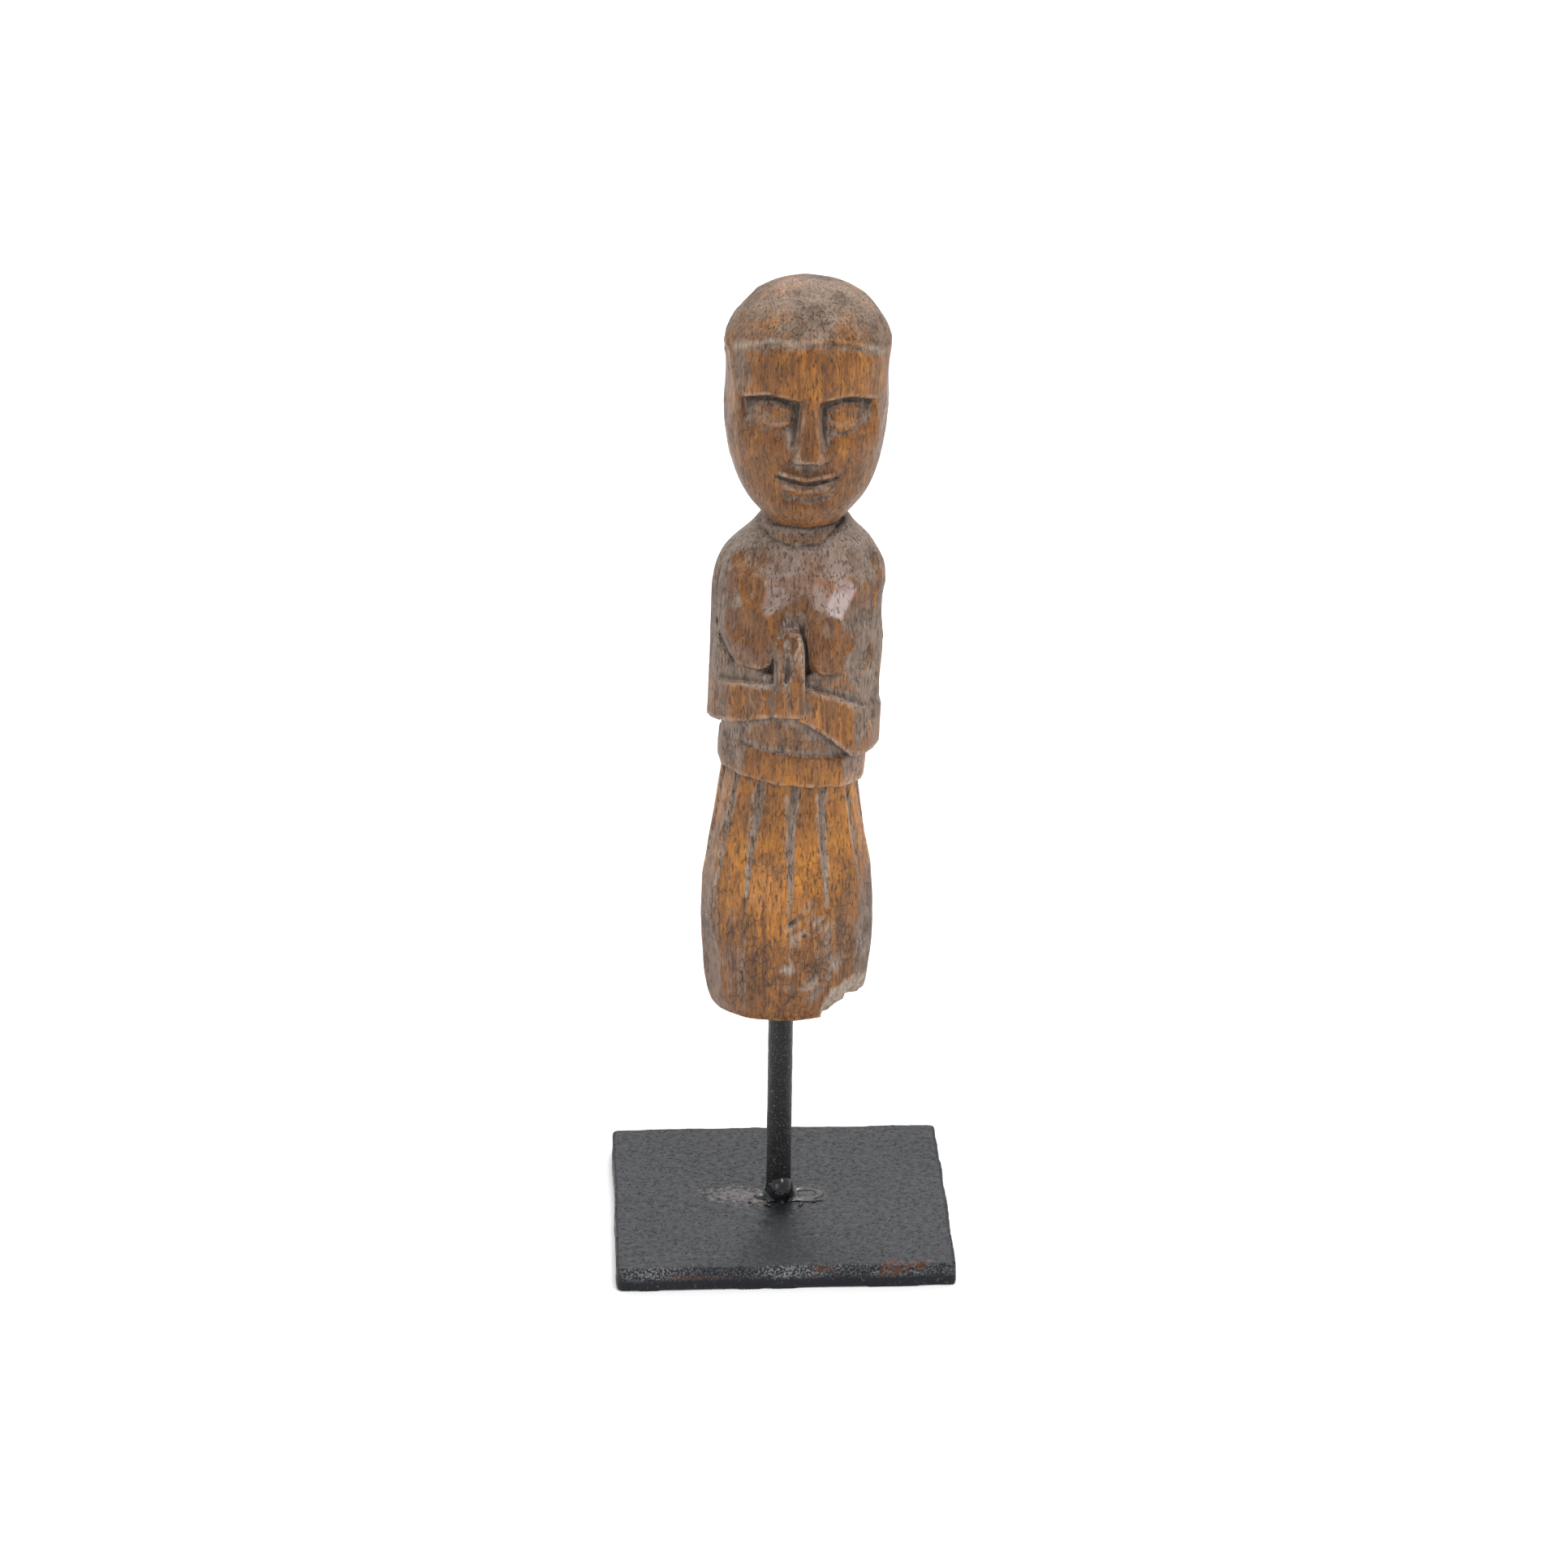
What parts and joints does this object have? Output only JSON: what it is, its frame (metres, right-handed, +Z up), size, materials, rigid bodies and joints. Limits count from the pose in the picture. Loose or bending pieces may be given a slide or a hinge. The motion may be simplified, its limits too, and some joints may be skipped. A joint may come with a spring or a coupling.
{
  "type": "carved praying figure on an iron stand",
  "caption": "Carved wooden figure of a praying woman, pinned on an iron post that is welded upright on a square iron plate.",
  "frame": {"origin": "middle of the base plate's underside", "axes": "+Z up along the figure's height, the figure faces -Y, +X is to the right of someone who looks at its front"},
  "size_m": [0.08, 0.08, 0.232],
  "materials": {
    "wood": "waxed on the high parts, grey dust in the cuts",
    "plate_paint": "satin charcoal paint over rough iron",
    "post_paint": "semi-gloss black paint over rough iron",
    "resin": "cured clear amber resin, hidden in the hole"
  },
  "bodies": {
    "root": {"base_plate": "plate_paint", "weld_bead": "post_paint", "iron_post": "post_paint", "resin_bond": "resin", "carved_figure": "wood"}
  },
  "joints": []
}
